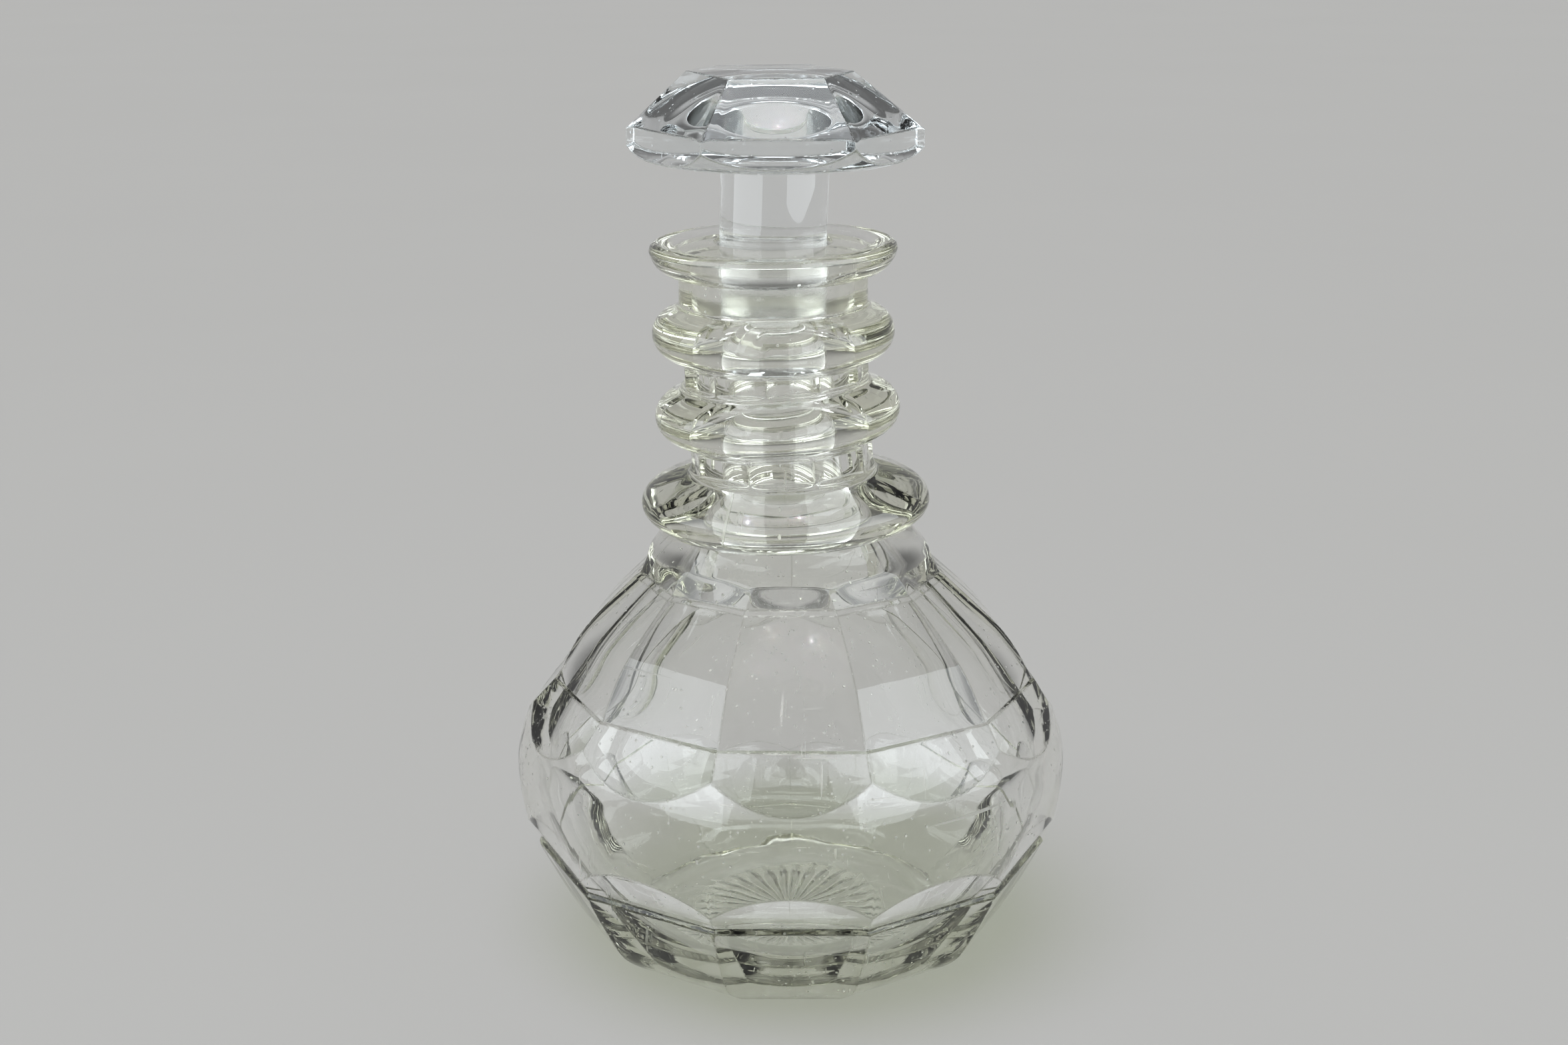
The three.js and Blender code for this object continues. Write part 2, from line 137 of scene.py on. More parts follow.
# Rings: how far each stands out from the neck, height of its middle, half its height, and its tilt.
# A fillet reaches some of its size further under and over a ring, and leaves the neck and the ring with
# directions of a length that is a share of its size.
RINGS = {
    "upper_neck_ring": (6.1 * MM, 147.1 * MM, 6.4 * MM, incline(0.8)),
    "middle_neck_ring": (6.7 * MM, 128.8 * MM, 6.5 * MM, incline(3.1)),
    "lower_neck_ring": (11.9 * MM, 108.0 * MM, 6.7 * MM, incline(1.4)),
}
RING_SEAT = 17.4 * MM
RING_POWER = 0.75
RING_GAP = 0.03 * MM
COLLAR_CONTACT = 27.6 * MM
FILLET_UNDER = 0.5
FILLET_OVER = 0.9
FILLET_LIFT = 0.8
FILLET_PULL = 1.2

# Lip and mouth. The lip leans a little to the front and its right side is up.
LIP = np.array([[21.3, 160.2], [23.6, 160.75], [25.7, 162.0], [27.2, 163.8], [27.95, 165.9]]) * MM
RIM_ROUND = profile(27.5, 167.15)
RIM = profile(26.3, 167.8)
RIM_INNER = profile(24.8, 167.6)
LIP_TILT = incline(0.8)
LIP_LEAN = incline(0.5)
MOUTH = profile(13.25, 167.4)
SOCKET_TOP = 166.5 * MM
SOCKET_END = 148.4 * MM

# Inside of the bottle
BORE = profile(12.4, 136.0)
BORE_FOOT = profile(14.5, 112.0)
ROOT_WALL = 7.4 * MM
SHOULDER_WALL = 4.4 * MM
PANEL_WALL = 3.2 * MM
BELLY_WALL = 4.8 * MM
FLOOR_HEIGHT = 5.0 * MM
FLOOR_FILLET = 16.0 * MM
FLOOR_MIDDLE = 0.5 * MM
RIPPLE_START = 12.0 * MM
WALL_STEPS = 10

# Waves of the blown wall: share, turns round the wall, turn for each metre up, and start
WAVES = ((0.5, 3, 95, 0.4), (0.3, 5, -150, 2.1), (0.2, 2, 240, 1.3))

# Star under the base, on a ground disc: shares of its radius at which it has rows, and how ground it is
STAR_RADIUS = 23.6 * MM
STAR_WIDEST = 17.5 * MM
STAR_DEPTH = 0.7 * MM
RAY_HALF_ANGLE = math.radians(4.2)
STAR_RECESS = 0.12 * MM
STAR_RIM = 24.6 * MM
STAR_SHARES = (0.02, 0.06, 0.13, 0.22, 0.34, 0.46, 0.58, 0.68, 0.74, 0.8, 0.88, 0.94, 0.98, 1.0)
RAY_GROUND = 0.3
DISC_GROUND = 2.8

# Stopper. Its sides lie at uneven distances, from the front one round to the right.
PLUG_RADIUS = 12.05 * MM
PLUG_END_RADIUS = 11.7 * MM
PLUG_END = 149.6 * MM
PLUG_CHAMFER = 0.8 * MM
STEM_FILLET = 1.0 * MM
HEAD_UNDERSIDE = 184.6 * MM
STEM_TOP = 186.5 * MM
HEAD_SHIFT = 0.45 * MM
DISH_REACH = 21.0 * MM
HEAD_RIM = 192.8 * MM
TABLE_HEIGHT = 204.85 * MM
RIM_APOTHEMS = np.array([28.7, 29.2, 28.2, 28.7, 29.6, 27.8]) * MM
TABLE_APOTHEMS = np.array([14.6, 16.0, 14.0, 13.5, 18.5, 15.7]) * MM
TABLE_LEAN = incline(2.0)
TABLE_ROLL = incline(0.7)
FRONT_BAND = 6.35 * MM
DOME_SHIFT = 2.0 * MM
DOME_POWER = 9.1
CORNER_DIP = 0.5 * MM
CORNER_REACH = 1.2 * MM
SIDE_TURNS = np.arange(STOPPER_SIDES) * (TURN / STOPPER_SIDES)

# Wear of a cut edge, which also sets its painted shade: columns or rows away from it, and how worn they are
EDGE_WEAR_AND_SHADE = ((-1, 0.4), (0, 1.0), (1, 0.4))

# Chips on the cut edges: degrees round from the front, height, reach and depth
CHIPS = (
    (-16.4, 26.0 * MM, 1.5 * MM, 0.55 * MM),
    (16.4, 26.1 * MM, 0.9 * MM, 0.3 * MM),
    (-81.8, 25.9 * MM, 1.2 * MM, 0.4 * MM),
    (114.5, 66.4 * MM, 1.1 * MM, 0.35 * MM),
)

# Each glass: the light that one wall of it lets through, and the height of its slow hand-polished waves
GLASSES = {
    "bottle": ((0.93, 0.94, 0.91, 1), 0.11 * MM),
    "stopper": ((0.93, 0.94, 0.94, 1), 0.03 * MM),
}
CLEAR = (0.99, 0.99, 0.99, 1)
# Painted shade: the darker grey base colour of the worn cut edges, which draws them as dark lines
PAINTED_EDGE_SHADE = (0.62, 0.62, 0.58, 1)

# Depths of the wear of both glasses
SCRATCH_DEPTH = 0.02 * MM
PIT_DEPTH = 0.06 * MM
NICK_DEPTH = 0.03 * MM
GROUND_GRAIN = 0.02 * MM

# Scratches in three directions: how their noise is turned, and its scale along each axis
SCRATCH_RUNS = (
    ((0.2, 0.1, 0.5), (900.0, 30.0, 60.0)),
    ((1.1, 0.4, 0.0), (40.0, 800.0, 25.0)),
    ((0.0, 1.2, 2.0), (30.0, 50.0, 1000.0)),
)

# Roughness that each kind of wear adds to the polished glass
SMEAR_ROUGHNESS = 0.02
SCRATCH_ROUGHNESS = 0.35
PIT_ROUGHNESS = 0.6
NICK_ROUGHNESS = 0.3
GROUND_ROUGHNESS = 0.10

# Lamps. The soft boxes are a little cool, and the light from above is wide.
SOFT_BOX_COLOUR = (0.9, 0.96, 1.0)
SIDE_BOX_PLACE = (0.32, -0.185, 0.263)
SIDE_BOX_TURN = math.radians(60)
TOP_BOX_SIZE = (0.7, 0.5)
TOP_BOX_PLACE = (0.0, 0.25, 1.2)
OVERHEAD_WIDTH = math.radians(50)
OVERHEAD_TURN = (math.radians(12), math.radians(-8), 0)

# The room darkens from this height of a direction on, over this much more
ROOM_TURNS = (0.12, 0.35)

# How far the floor lies under the foot, so that the two don't touch
FLOOR_DROP = 0.05 * MM

# Camera that took the photograph, fitted to the outline
CAMERA_PLACE = (-0.001566, -0.4866, 0.24005)
CAMERA_PITCH = math.radians(74.15)


# Sizes and looks that a user would change


def number(name, description, default, low, high, unit="NONE", precision=2):
    """A number, with its unit if it has one."""
    said = {"name": name, "description": description}
    return FloatProperty(**said, default=default, min=low, max=high, unit=unit, precision=precision)


def small_length(name, description, *sizes):
    """A length, whose default, least and most are given in millimetres and kept in metres."""
    return number(name, description, *(size * MM for size in sizes), "LENGTH", 5)


def colour(name, description, default):
    """A colour, as red, green and blue from 0 to 1."""
    said = {"name": name, "description": description}
    return FloatVectorProperty(**said, subtype="COLOR", default=default, min=0.0, max=1.0)


class DecanterSizes(bpy.types.PropertyGroup):
    """Small sizes that belong to how the glass was made and worn."""

    worn_edge: small_length("Worn edge", "Width over which a cut edge is rounded by wear", 0.25, 0.02, 0.5)
    ripple: small_length("Ripple", "How far the blown inner wall wanders from a true round", 0.16, 0.0, 0.6)
    ring_fillet: small_length("Ring fillet", "Reach of the fillet from a ring onto the neck", 0.9, 0.2, 1.5)
    joint_gap: small_length("Joint gap", "Gap between the stopper's plug and its socket", 0.14, 0.05, 0.3)


class GlassLook(bpy.types.PropertyGroup):
    """Colours and finish of the two glasses. A density is the strength of a tint in a metre of glass."""

    bottle_tint: colour("Bottle tint", "What light turns to in the bottle's glass", (0.52, 0.535, 0.15))
    bottle_density: number("Bottle density", "Strength of the bottle's tint", 6.5, 0.0, 60.0)
    stopper_tint: colour("Stopper tint", "What light turns to in the stopper's glass", (0.62, 0.74, 0.78))
    stopper_density: number("Stopper density", "Strength of the stopper's tint", 4.0, 0.0, 60.0)
    polish: number("Polish", "Roughness of the clean polished glass", 0.012, 0.0, 0.2)
    # Wear also sets how strong the painted shade on the worn edges is
    wear_and_edge_shade: number("Wear", "Strength of the scratches, the specks and the worn edges", 1.0, 0.0, 2.0)


class StageLook(bpy.types.PropertyGroup):
    """Floor, lamps and camera."""

    floor_colour: colour("Floor colour", "Colour of the plain pale floor", (0.52, 0.52, 0.51))
    floor_side: number("Floor side", "Length of a side of the square floor", 24.0, 2.0, 60.0, "LENGTH")
    side_box_width: number("Side box width", "Width of each side soft box", 0.51, 0.1, 2.0, "LENGTH")
    side_box_height: number("Side box height", "Height of each side soft box", 0.3, 0.1, 2.0, "LENGTH")
    side_box_power: number("Side box power", "Power of each side soft box", 1.35, 0.0, 50.0, "POWER")
    top_box_power: number("Top box power", "Power of the soft box overhead", 3.2, 0.0, 50.0, "POWER")
    room_light: number("Room light", "Grey level of the light from all round", 0.46, 0.0, 1.0)
    room_top: number("Room top", "Grey level of the room overhead", 0.13, 0.0, 1.0)
    overhead_light: number("Overhead light", "Strength of the broad light from above", 2.5, 0.0, 5.0)
    lens: number("Lens", "Focal length of the camera, in mm on a sensor 36 mm wide", 50.0, 10.0, 200.0)


# Shapes on a grid


def ease(value, start, end):
    """Smooth change from 0 to 1 between start and end: t squared times (3 - 2t)."""
    t = np.clip((value - start) / (end - start), 0, 1)
    return t * t * (3 - 2 * t)


def axis_x(height):
    """X of the middle of the glass at a height: the shift of the neck, eased in between two heights."""
    return -NECK_SHIFT * ease(height, SHIFT_START, SHIFT_END)


def from_middle(angle, step):
    """How far an angle is from the middle of its side, when side 0 faces the front."""
    return angle - np.round(angle / step) * step


def polygon(apothem, angle, step=PANEL_STEP):
    """Radius of a regular polygon: its apothem over the cosine of the angle from a side's middle."""
    return apothem / np.cos(from_middle(angle, step))


def through(points, count):
    """Points of a smooth curve through a few others: a Catmull-Rom spline with its ends repeated."""
    points = np.asarray(points)
    last = len(points) - 1
    t = np.linspace(0, last, count)
    i = np.minimum(t.astype(int), last - 1)
    t = (t - i)[:, None]
    before, a, b, after = (points[np.clip(i + k, 0, last)] for k in (-1, 0, 1, 2))
    start, end = (b - before) / 2, (after - a) / 2
    cubic = (2 * a - 2 * b + start + end) * t**3
    square = (3 * b - 3 * a - 2 * start - end) * t**2
    return cubic + square + start * t + a


def inset(point, wall, normal):
    """A profile point moved into the glass by a wall, against a normal given as an angle above level."""
    return np.array([point[0] - wall * math.cos(normal), point[1] - wall * math.sin(normal)])


def shares(count, length, soft, ends=(True, True)):
    """Shares from 0 to 1 in equal steps, with two rows close to each crisp end."""
    near = np.array([0, 1, 2]) * soft / length
    low, high = (near if crisp else near[:1] for crisp in ends)
    middle = np.linspace(low[-1], 1 - high[-1], count + 1)[1:-1]
    return np.concatenate([low, middle, 1 - high[::-1]])


def row(angles, radius, height):
    """One row, or one for each line of the heights: angle, radius and height for each column."""
    return np.stack(np.broadcast_arrays(angles, radius, height), axis=-2)


def level_row(point):
    """A round and level row through a profile point."""
    return row(EVEN_ANGLES, point[0], point[1])


def between(low, high, at):
    """Rows part of the way from one row to another: low + share x (high - low)."""
    return low[None] + np.asarray(at)[:, None, None] * (high - low)[None]


def panel_angles(soft):
    """Angles with a column on each panel edge, two close to it each way, and even ones across the panel."""
    half = PANEL_STEP / 2
    lead = COLUMNS_A_PANEL // 2
    edge = np.array([0.0, soft, 2 * soft])
    inner = np.linspace(-half + edge[2], half - edge[2], COLUMNS_A_PANEL - 3)[1:-1]
    one = np.concatenate([-half + edge, inner, half - edge[:0:-1]])
    turned = one[None] + np.arange(PANELS)[:, None] * PANEL_STEP
    return np.roll(turned.ravel(), -lead) + np.where(np.arange(COLUMNS) >= COLUMNS - lead, TURN, 0)


def star_angles():
    """Angles with a column on the middle of each ray, on both its walls' tops and between two rays."""
    half = TURN / STAR_RAYS / 2
    wall = np.array([0.5 * RAY_HALF_ANGLE, RAY_HALF_ANGLE, 1.1 * RAY_HALF_ANGLE])
    one = np.concatenate([[0.0], wall, [half], 2 * half - wall[::-1]])
    return (one[None] + np.arange(STAR_RAYS)[:, None] * 2 * half).ravel()


def flat_edges(count, turn):
    """Angles of the edges between so many flats round the neck, and the even column nearest to each."""
    edges = (np.arange(count) + 0.5) * (TURN / count) + turn
    return edges, np.round(edges / (TURN / COLUMNS)).astype(int)


def flat_angles(count, turn, soft):
    """Even angles whose nearest columns are moved onto the edges between so many flats."""
    angles = EVEN_ANGLES.copy()
    edges, nearest = flat_edges(count, turn)
    for offset in (-1, 0, 1):
        at = nearest + offset
        angles[at % COLUMNS] = edges + offset * soft - TURN * (at // COLUMNS)
    return angles


def belly_radius(height):
    """Radius of the uncut belly: two arcs that meet upright at its widest, then a straight slope."""
    arc = np.where(height < BELLY_HEIGHT, BELLY_LOWER_ARC, BELLY_UPPER_ARC)
    arc_top = BELLY_UPPER_ARC * math.sin(BELLY_UPPER_SLOPE)
    rise = np.minimum(height - BELLY_HEIGHT, arc_top)
    beyond = height - BELLY_HEIGHT - rise
    return BELLY_RADIUS - arc + np.sqrt(arc * arc - rise * rise) - beyond * math.tan(BELLY_UPPER_SLOPE)


def belly_row(angles, height):
    """A row on the belly, or one for each line of the heights."""
    return row(angles, belly_radius(height), height)


def lower_facet(height):
    """Apothem of the facets above the ledge, which lean out as they rise."""
    return NOTCH[0] + LOWER_FACET_SLOPE * (height - NOTCH[1])


def upper_facet(height):
    """Apothem of the facets under the ridge, which lean in as they rise."""
    return RIDGE[0] + UPPER_FACET_SLOPE * (RIDGE[1] - height)


def run_out(facet, angles, in_facet, in_belly):
    """Height at which a facet runs out into the belly at each angle, by halving a stretch of heights."""
    low = np.full(angles.shape, in_facet)
    high = np.full(angles.shape, in_belly)
    for _ in range(HALVINGS):
        middle = (low + high) / 2
        cut = polygon(facet(middle), angles) < belly_radius(middle)
        low = np.where(cut, middle, low)
        high = np.where(cut, high, middle)
    return (low + high) / 2


def around(angles, radius, height):
    """Places round an axis: radius x sine, -radius x cosine, height."""
    found = radius * np.sin(angles), -radius * np.cos(angles), height
    return np.stack(np.broadcast_arrays(*found), axis=-1)


def places(rows):
    """Places of the vertices of rows of the bottle, round its shifting middle."""
    points = around(rows[:, 0], rows[:, 1], rows[:, 2])
    points[..., 0] += axis_x(rows[:, 2])
    return points


class Skin:
    """Rows gathered band by band, with what is known of each: crisp, cut, fused to a ring, or ground."""

    def __init__(self, columns):
        self.columns = columns
        self.bands = []
        self.ground = []
        self.crisp = []
        self.cut = []
        self.flats = []
        self.fused = []

    def count(self):
        return len(self.cut)

    def add(self, band, crisp=False, cut=False, fused=False, ground=0.0):
        """Adds a band that starts on the last row, which is a cut edge if the band is crisp or cut."""
        band = np.asarray(band)
        ground = np.broadcast_to(ground, (len(band), self.columns))
        if self.count():
            band, ground = band[1:], ground[1:]
            if crisp or cut:
                self.crisp.append(self.count() - 1)
        self.bands.append(band)
        self.ground.append(ground)
        self.cut += [cut] * len(band)
        self.fused += [fused] * len(band)

    def span(self, low, high, count, length, soft, ends=(True, True), **kind):
        """Adds a straight band between two rows, with its rows set closer at its crisp ends."""
        self.add(between(low, high, shares(count, length, soft, ends)), **kind)

    def rows(self):
        return np.concatenate(self.bands)

    def edge_wear_and_shade(self, edges):
        """Wear and painted shade of each vertex: most on a crisp row, or on an edge of a cut band or of the
        flats.
        """
        edge_wear_and_shade = np.zeros((self.count(), self.columns))
        cut = np.flatnonzero(self.cut)
        for offset, wear_and_edge_shade in EDGE_WEAR_AND_SHADE:
            picked = np.array(self.crisp) + offset
            edge_wear_and_shade[picked] = np.maximum(edge_wear_and_shade[picked], wear_and_edge_shade)
            across = np.ix_(cut, (edges + offset) % self.columns)
            edge_wear_and_shade[across] = np.maximum(edge_wear_and_shade[across], wear_and_edge_shade)
            for rows, nearest in self.flats:
                edge_wear_and_shade[np.ix_(rows, (nearest + offset) % self.columns)] = wear_and_edge_shade
        return edge_wear_and_shade

    def mark(self, mesh, edges):
        """Stores on the mesh what is worn and given painted shade, what is ground and what is fused, for
        its finish to read.
        """
        mark(mesh, "edge_wear_and_shade", self.edge_wear_and_shade(edges).ravel(), "POINT")
        mark(mesh, "ground", np.concatenate(self.ground).ravel(), "POINT")
        mark(mesh, "fused", np.repeat(self.fused[1:], self.columns), "FACE")


def soften(points, skin, edges):
    """Rounds cut edges: a point becomes half itself and a quarter of each neighbour across the edge."""
    eased = points.copy()
    crisp = np.array(skin.crisp)
    eased[crisp] = points[crisp] / 2 + (points[crisp - 1] + points[crisp + 1]) / 4
    cut = np.flatnonzero(skin.cut)
    columns = points.shape[1]
    left, right = (eased[np.ix_(cut, (edges + side) % columns)] for side in (-1, 1))
    middle = np.ix_(cut, edges)
    eased[middle] = eased[middle] / 2 + (left + right) / 4
    return eased


def chip(points, degrees, height, reach, depth):
    """Dents the glass near a point of its outside, deepest there and nothing at its reach."""
    angle = math.radians(degrees)
    out = np.array([math.sin(angle), -math.cos(angle), 0.0])
    level = np.abs(points[..., 2] - height) < reach
    centre = out * np.where(level, points @ out, 0.0).max() + [0.0, 0.0, height]
    away = np.linalg.norm(points - centre, axis=-1) / reach
    return points - out * (depth * np.clip(1 - away * away, 0, 1))[..., None]


def grid_mesh(name, points, poles=(), closed=False):
    """A mesh over rows of points. The rows end in two poles, or the last row joins the first."""
    count, columns = points.shape[:2]
    at = np.arange(count * columns).reshape(count, columns)
    if closed:
        at = np.concatenate([at, at[:1]])
    right = np.roll(at, -1, axis=1)
    quads = np.stack([at[:-1], right[:-1], right[1:], at[1:]], axis=-1).reshape(-1, 4)
    vertices, faces = points.reshape(-1, 3), quads.tolist()
    if poles:
        low, high = (np.full(columns, len(vertices) + end) for end in (0, 1))
        vertices = np.concatenate([vertices, poles])
        faces += np.stack([low, right[0], at[0]], axis=-1).tolist()
        faces += np.stack([high, at[-1], right[-1]], axis=-1).tolist()
    mesh = bpy.data.meshes.new(name)
    mesh.from_pydata(vertices, [], faces)
    mesh.shade_smooth()
    return mesh


def mark(mesh, name, values, domain):
    """Stores one number for each vertex or face of a mesh, under a name that a material reads."""
    layer = mesh.attributes.new(name, "FLOAT", domain)
    full = np.zeros(len(layer.data), np.float32)
    full[: len(values)] = values
    layer.data.foreach_set("value", full)


def add_object(name, data, place=(0, 0, 0), turn=(0, 0, 0)):
    """Puts a mesh, a lamp or a camera in the scene."""
    made = bpy.data.objects.new(name, data)
    made.location = place
    made.rotation_euler = turn
    bpy.context.scene.collection.objects.link(made)
    return made


def finish_piece(name, mesh, material, body, slot, *nodes):
    """Puts a mesh in the scene as a piece that rides on a body and stands for CAD nodes."""
    piece = add_object(name, mesh)
    mesh.materials.append(material)
    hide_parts(*nodes)
    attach(piece, body)


# The bottle


def ring_contacts(name, fillet):
    """Heights, in the ring's own middle, at which its section meets the neck, under and over it."""
    bulge, middle, half, _ = RINGS[name]
    width = bulge + NECK_RADIUS - RING_SEAT
    reach = []
    for neck in (COLLAR_CONTACT if name == "lower_neck_ring" else NECK_RADIUS, NECK_RADIUS):
        share = (neck + fillet - RING_SEAT) / width
        reach.append(math.acos(share ** (1 / RING_POWER)))
    low = middle - half * math.sin(reach[0]) - FILLET_UNDER * fillet
    high = middle + half * math.sin(reach[1]) + FILLET_OVER * fillet
    return low, high, reach


ROOT = through([SHOULDER_TURN, COLLAR_SEAT, ROOT_MIDDLE, NECK_ROOT], 60)


def root_radius(height):
    """Radius of the round root of the neck at a height, read off its smooth curve."""
    return np.interp(height, ROOT[:, 1], ROOT[:, 0])


def contact_rows(name, fillet):
    """Rows of the neck behind a ring: they lean with it, and lie on the neck."""
    low, high, _ = ring_contacts(name, fillet)
    tilt = RINGS[name][3]
    height = np.linspace(low, high, 7)[:, None]
    height = height + tilt * root_radius(height) * np.sin(EVEN_ANGLES)[None]
    return row(EVEN_ANGLES, root_radius(height), height)


def star_rows():
    """The star: height = depth of the ray at a radius - slope x distance from the ray's middle line."""
    angles = star_angles()
    radii = np.array(STAR_SHARES) * STAR_RADIUS
    aside = radii[:, None] * np.sin(np.abs(from_middle(angles, TURN / STAR_RAYS)))[None]
    inward = radii / STAR_WIDEST
    outward = (STAR_RADIUS - radii) / (STAR_RADIUS - STAR_WIDEST)
    depth = STAR_DEPTH * np.minimum(inward, outward)[:, None]
    slope = STAR_DEPTH / (STAR_WIDEST * math.sin(RAY_HALF_ANGLE))
    height = np.clip(depth - slope * aside, 0, None)
    rows = row(angles, radii[:, None], height + STAR_RECESS)
    return rows, np.where(height > 0, RAY_GROUND, DISC_GROUND)


def cut_row(angles, point, uneven=0.0):
    """A row with the section of the panels: polygon radius, and uneven x sine further out on the right."""
    return row(angles, polygon(point[0], angles) + uneven * np.sin(angles), point[1])


def bottle_skin(sizes):
    """The outside of the bottle from the star up to the lip, and its inside down to the floor."""
    soft = sizes.worn_edge
    angles = panel_angles(soft / BELLY_RADIUS)
    skin = Skin(COLUMNS)
    star, star_ground = star_rows()
    skin.add(star, ground=star_ground)
    foot = cut_row(angles, FOOT)
    star_rim = row(star_angles(), STAR_RIM, 0.0)
    skin.add([star[-1], star_rim], ground=1.0)
    skin.span(star_rim, foot, 5, FOOT[0] - STAR_RIM, soft, (False, True))
    # The heel has two more rows close to the foot and two close to the ledge, to keep both edges crisp
    heel = through([FOOT, FOOT_TURN, HEEL, LEDGE], 25)
    heel = np.concatenate([heel[:1], heel[:1] + (heel[1] - heel[0]) * [[0.1], [0.2]], heel[1:]])
    near = LEDGE + (heel[-2] - LEDGE) / np.linalg.norm(heel[-2] - LEDGE) * soft * np.array([[2.0], [1.0]])
    heel = np.concatenate([heel[:-1], near, heel[-1:]])
    skin.add([cut_row(angles, point) for point in heel], cut=True)
    ledge, notch = cut_row(angles, LEDGE), cut_row(angles, NOTCH)
    skin.span(ledge, notch, 2, LEDGE_BAND, soft, cut=True)
    low_end = run_out(lower_facet, angles, NOTCH[1], BELLY_HEIGHT)
    high_end = run_out(upper_facet, angles, RIDGE[1], BELLY_HEIGHT)
    skin.span(notch, belly_row(angles, low_end), 8, LOWER_FACET_BAND, soft, cut=True)
    heights = low_end + shares(26, BELLY_BAND, soft)[:, None] * (high_end - low_end)
    skin.add(belly_row(angles, heights), crisp=True)
    ridge = cut_row(angles, RIDGE, PANEL_UNEVENNESS)
    skin.span(belly_row(angles, high_end), ridge, 8, UPPER_FACET_BAND, soft, cut=True)
    panel_foot = cut_row(angles, PANEL_FOOT, PANEL_UNEVENNESS)
    skin.add(between(ridge, panel_foot, [0, 0.25, 0.75, 1]), cut=True)
    crest = inset(PANEL_FOOT + PANEL_CROWN_SHARE * (SHOULDER - PANEL_FOOT), -PANEL_CROWN, PANEL_NORMAL)
    curve = through([PANEL_FOOT, crest, SHOULDER], CURVE_POINTS)
    at = np.round(shares(26, PANEL_BAND, soft) * (CURVE_POINTS - 1)).astype(int)
    uneven = PANEL_UNEVENNESS * (1 - ease(curve[:, 1], RIDGE[1], SHOULDER[1]))
    skin.add([cut_row(angles, curve[i], uneven[i]) for i in at], cut=True)
    shoulder, bevel_top = cut_row(angles, SHOULDER), cut_row(angles, BEVEL_TOP)
    skin.span(shoulder, bevel_top, 2, BEVEL_BAND, soft, cut=True)
    turn = level_row(SHOULDER_TURN)
    skin.span(bevel_top, turn, 5, SHOULDER_BAND, soft, (True, False), crisp=True)

    upper_ring, middle_ring, low_ring = (contact_rows(name, sizes.ring_fillet) for name in RINGS)
    heights = turn[2] + np.linspace(0, 1, 9)[:, None] * (low_ring[0][2] - turn[2])
    skin.add(row(EVEN_ANGLES, root_radius(heights), heights))
    skin.add(low_ring, fused=True)
    add_flats(skin, middle_ring[0], LOW_NECK_FLATS, 0.0, LOW_FLAT_DEPTH, soft)
    skin.add(middle_ring, fused=True)
    add_flats(skin, upper_ring[0], PANELS, UPPER_FLAT_TURN, UPPER_FLAT_DEPTH, soft)
    skin.add(upper_ring, fused=True)
    add_lip(skin, upper_ring[-1], soft)
    add_inside(skin, sizes)
    return skin


def add_flats(skin, end, count, turn, depth, soft):
    """The neck up to the next ring: round at both ends, and cut to a polygon of so many flats between."""
    angles = flat_angles(count, turn, soft / NECK_RADIUS * FLAT_EDGE_SPREAD)
    flat = np.minimum(NECK_RADIUS, polygon(NECK_RADIUS - depth, angles - turn, TURN / count))
    rows = between(skin.bands[-1][-1], end, FLAT_HEIGHTS)
    rows[:, 0] += np.ceil(FLAT_CUTS) * (angles - EVEN_ANGLES)
    rows[:, 1] += FLAT_CUTS * (flat - NECK_RADIUS)
    skin.flats.append((skin.count() - 1 + np.flatnonzero(FLAT_CUTS == 1), flat_edges(count, turn)[1]))
    skin.add(rows)


def lip_row(point):
    """A round row that tilts with the lip: height + tilt x sine - lean x cosine, times the radius."""
    rise = LIP_TILT * np.sin(EVEN_ANGLES) - LIP_LEAN * np.cos(EVEN_ANGLES)
    return row(EVEN_ANGLES, point[0], point[1] + point[0] * rise)


def add_lip(skin, start, soft):
    """The round neck above the rings, the round flare under the lip, its rim and its dished top."""
    foot = lip_row(LIP[0])
    skin.span(start, foot, 6, LIP[0][1] - RINGS["upper_neck_ring"][1], soft, (False, True))
    skin.add([lip_row(point) for point in through(LIP, 17)], crisp=True)
    skin.add([lip_row(point) for point in through([LIP[-1], RIM_ROUND, RIM], 7)])
    skin.add(between(lip_row(RIM), lip_row(RIM_INNER), np.linspace(0, 1, 5)))
    dish = RIM_INNER[0] - MOUTH[0]
    skin.span(lip_row(RIM_INNER), level_row(MOUTH), 8, dish, soft, (False, True))


def lower_wall():
    """The inner wall under the widest part: an arc parallel to the round belly, then a fillet."""
    arc = BELLY_LOWER_ARC - BELLY_WALL
    middle = BELLY_RADIUS - BELLY_LOWER_ARC
    drop = BELLY_HEIGHT - FLOOR_HEIGHT - FLOOR_FILLET
    reach = math.sqrt((arc - FLOOR_FILLET) ** 2 - drop**2)
    end = math.atan2(drop, reach)
    a = np.linspace(0, end, 26)
    wall = np.stack([middle + arc * np.cos(a), BELLY_HEIGHT - arc * np.sin(a)], axis=-1)
    a = np.linspace(end, math.pi / 2, 12)[1:]
    rise = FLOOR_HEIGHT + FLOOR_FILLET * (1 - np.sin(a))
    return np.concatenate([wall, np.stack([middle + reach + FLOOR_FILLET * np.cos(a), rise], axis=-1)])


